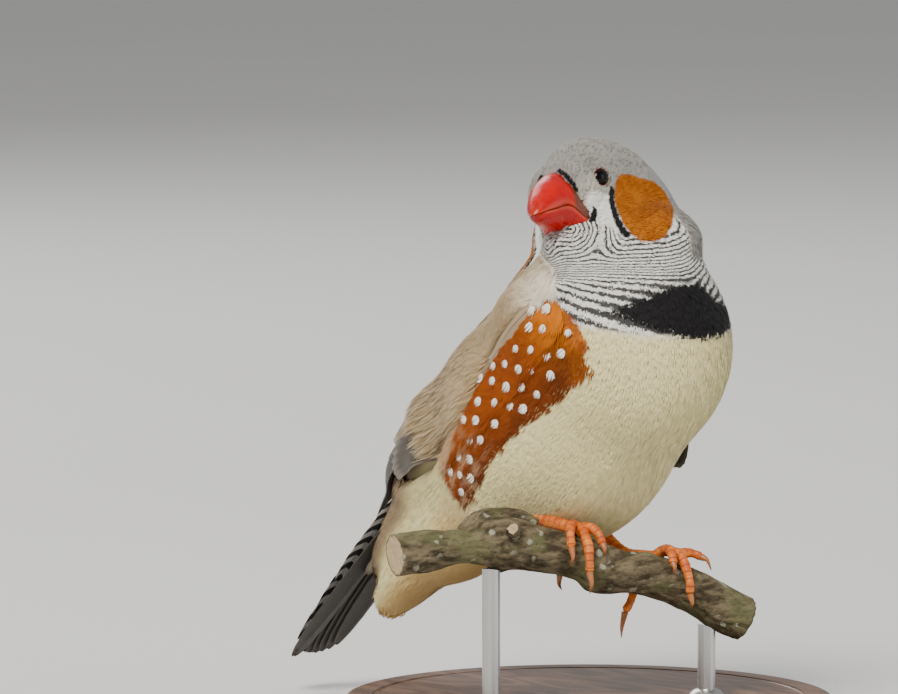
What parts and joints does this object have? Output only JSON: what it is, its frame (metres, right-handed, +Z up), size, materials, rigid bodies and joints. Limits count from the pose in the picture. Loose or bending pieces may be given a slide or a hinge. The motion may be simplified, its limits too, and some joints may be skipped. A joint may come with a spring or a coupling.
{
  "type": "zebra finch",
  "caption": "Life-size male zebra finch looking over its shoulder, gripping a cut branch that a round wooden base holds on plain rods.",
  "frame": {"origin": "middle of the round base's underside", "axes": "+Z up; -Y is the way the trunk faces, and the head looks towards -X; +X is the bird's left"},
  "size_m": [0.0673, 0.0865, 0.0792],
  "materials": {
    "belly_plumage": "soft feathers, cream to buff",
    "breast_plumage": "soft feathers, fine black and white bars",
    "head_plumage": "soft grey feathers with orange cheeks",
    "bill": "waxy red horn",
    "eye": "dark, glossy",
    "wing_plumage": "grey-brown feathers",
    "tail_plumage": "black feathers, white bars on the coverts",
    "leg_scale": "orange scales, dry sheen",
    "claw": "translucent brown horn",
    "branch": "grey-brown bark with pale lichen",
    "base_wood": "dark satin wood",
    "rod": "brushed"
  },
  "bodies": {
    "root": {"torso": "belly_plumage", "neck": "breast_plumage", "head": "head_plumage", "bill_upper": "bill", "bill_lower": "bill", "eye_right": "eye", "eye_left": "eye", "wing_right": "wing_plumage", "wing_left": "wing_plumage", "tail": "tail_plumage", "leg_right": "leg_scale", "leg_left": "leg_scale", "claw_right_1": "claw", "claw_right_2": "claw", "claw_right_3": "claw", "claw_right_4": "claw", "claw_left_1": "claw", "claw_left_2": "claw", "claw_left_3": "claw", "claw_left_4": "claw", "perch": "branch", "stand_base": "base_wood", "stand_rod_1": "rod", "stand_rod_2": "rod"}
  },
  "joints": []
}
